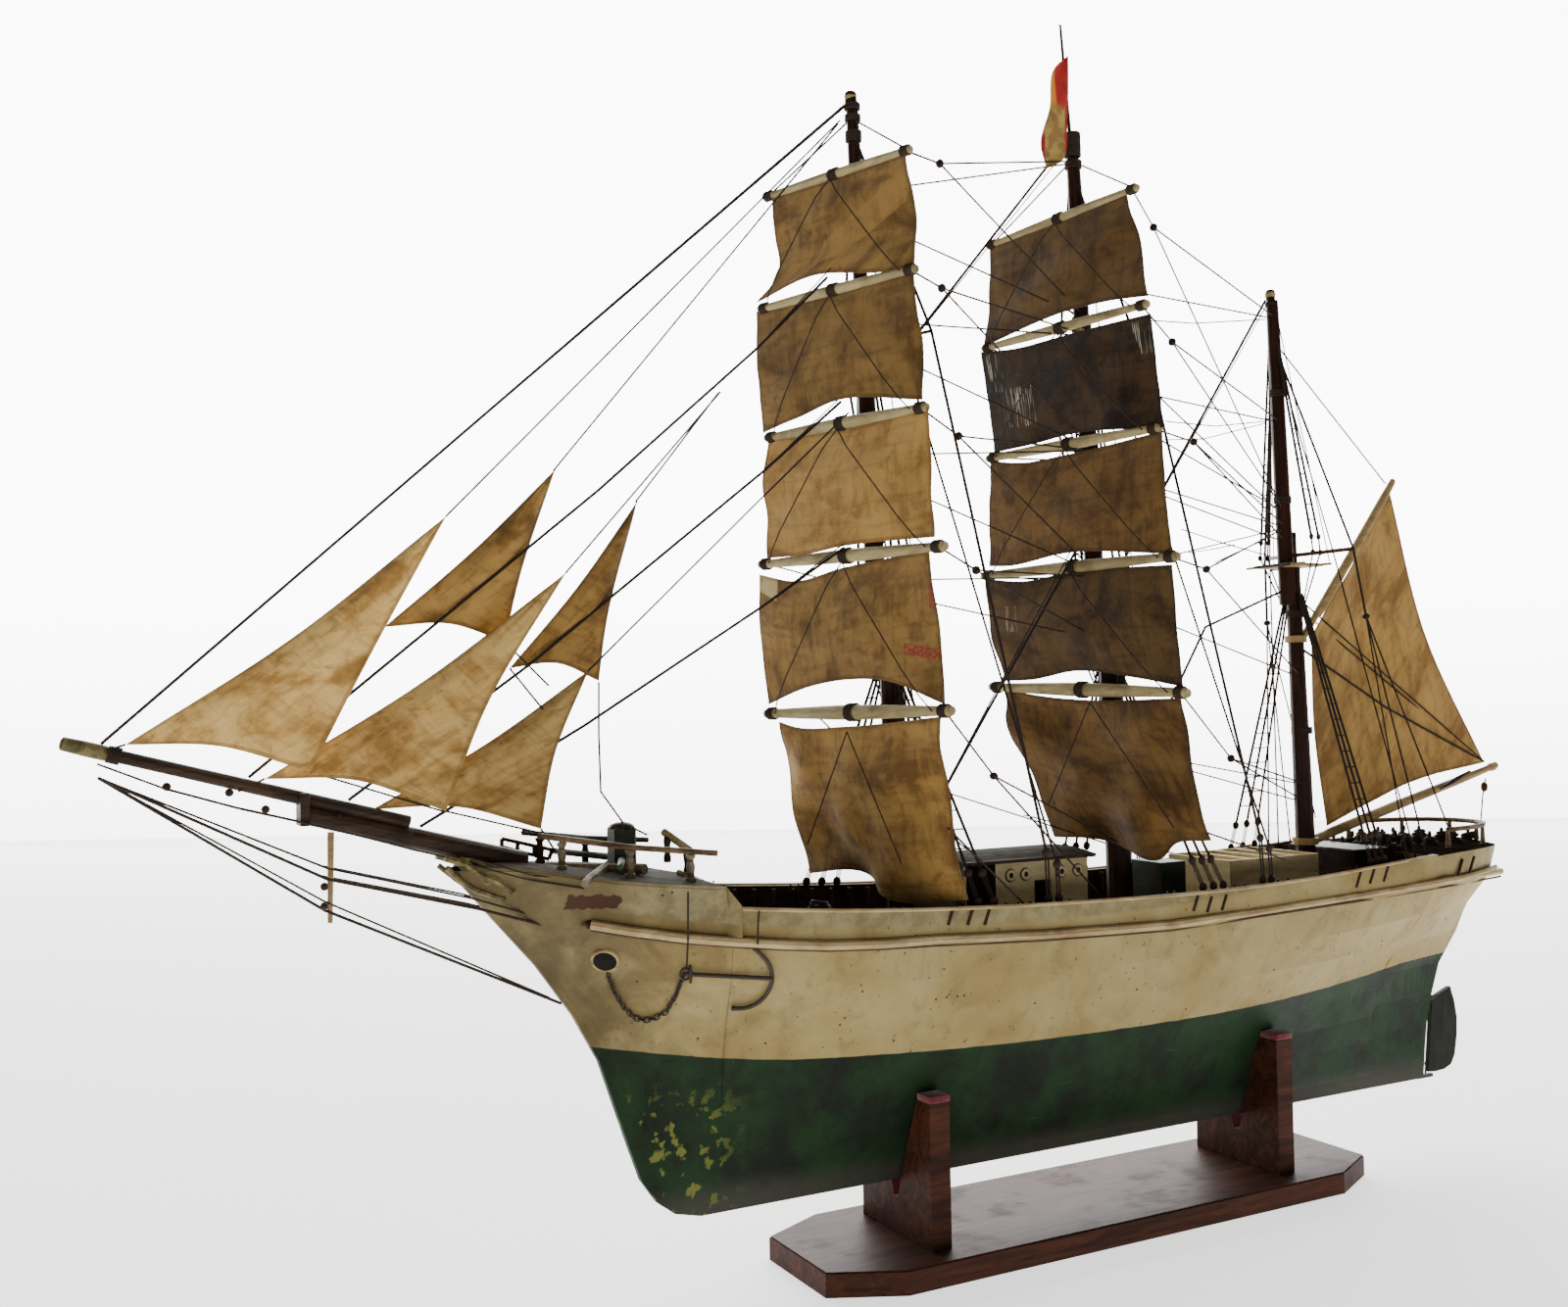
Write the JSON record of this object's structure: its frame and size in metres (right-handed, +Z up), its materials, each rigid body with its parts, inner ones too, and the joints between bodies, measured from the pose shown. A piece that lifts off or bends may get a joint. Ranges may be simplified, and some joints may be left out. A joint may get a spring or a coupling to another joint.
{
  "type": "three-masted barque model on a cradle stand",
  "caption": "Old wooden display model of a three-masted barque with sails set, yards, spanker, anchors and hinged rudder, standing in two cradles on a dark board.",
  "frame": {"origin": "centre of the stand board's underside", "axes": "+X towards the stern along the keel, +Y to starboard, +Z up"},
  "size_m": [1.7214, 0.2966, 1.3251],
  "materials": {
    "stand_wood": "dark stained wood, satin",
    "hull_paint": "aged cream paint over green bottom paint, stained",
    "deck_paint": "worn grey paint",
    "green_paint": "dark green paint, satin",
    "mast_wood": "varnished red-brown wood",
    "yard_wood": "grey bone-coloured wood, matte",
    "iron": "dull dark iron",
    "rope": "dark brown twisted cord, matte",
    "sailcloth": "tan linen, creased and stained",
    "flag_cloth": "thin red and yellow cloth"
  },
  "bodies": {
    "ship": {"stand_board": "stand_wood", "stand_cradle_fore": "stand_wood", "stand_cradle_aft": "stand_wood", "hull": "hull_paint", "bulwark_port": "hull_paint", "bulwark_starboard": "hull_paint", "forecastle_deck": "deck_paint", "forecastle_rail_port": "hull_paint", "forecastle_rail_starboard": "stand_wood", "forecastle_bitts": "green_paint", "deckhouse": "hull_paint", "deckhouse_roof": "deck_paint", "deck_locker": "green_paint", "open_cabin": "hull_paint", "aft_coaming": "stand_wood", "taffrail": "yard_wood", "bowsprit": "mast_wood", "jibboom": "mast_wood", "dolphin_striker": "yard_wood", "fore_lower_mast": "mast_wood", "fore_topmast": "mast_wood", "main_lower_mast": "mast_wood", "main_topmast": "mast_wood", "mizzen_lower_mast": "mast_wood", "mizzen_topmast": "mast_wood", "fore_royal_yard": "yard_wood", "fore_topgallant_yard": "yard_wood", "fore_upper_topsail_yard": "yard_wood", "fore_lower_topsail_yard": "yard_wood", "fore_course_yard": "yard_wood", "main_royal_yard": "yard_wood", "main_topgallant_yard": "yard_wood", "main_upper_topsail_yard": "yard_wood", "main_lower_topsail_yard": "yard_wood", "main_course_yard": "yard_wood", "fore_royal_sail": "sailcloth", "fore_topgallant_sail": "sailcloth", "fore_upper_topsail_sail": "sailcloth", "fore_lower_topsail_sail": "sailcloth", "fore_course_sail": "sailcloth", "main_royal_sail": "sailcloth", "main_topgallant_sail": "sailcloth", "main_upper_topsail_sail": "sailcloth", "main_lower_topsail_sail": "sailcloth", "main_course_sail": "sailcloth", "flying_jib_sail": "sailcloth", "jib_topsail_outer_sail": "sailcloth", "outer_jib_sail": "sailcloth", "jib_topsail_inner_sail": "sailcloth", "inner_jib_sail": "sailcloth", "fore_stays": "rope", "main_stays": "rope", "mizzen_stays": "rope", "flag": "flag_cloth", "anchor_port": "iron", "anchor_starboard": "iron"},
    "rudder": {"rudder": "stand_wood"},
    "spanker": {"spanker_boom": "yard_wood", "spanker_gaff": "yard_wood", "spanker_sail": "sailcloth"}
  },
  "joints": [
    {"name": "rudder_hinge", "type": "hinge", "parent": "ship", "child": "rudder", "pos_m": [0.5455, 0, 0.081], "axis": [0.1177, 0, 0.993], "range_deg": [-35, 35]},
    {"name": "spanker_swing", "type": "hinge", "parent": "ship", "child": "spanker", "pos_m": [0.345, 0, 0.39], "axis": [-0.0307, 0, 0.9995], "range_deg": [-30, 30]}
  ]
}
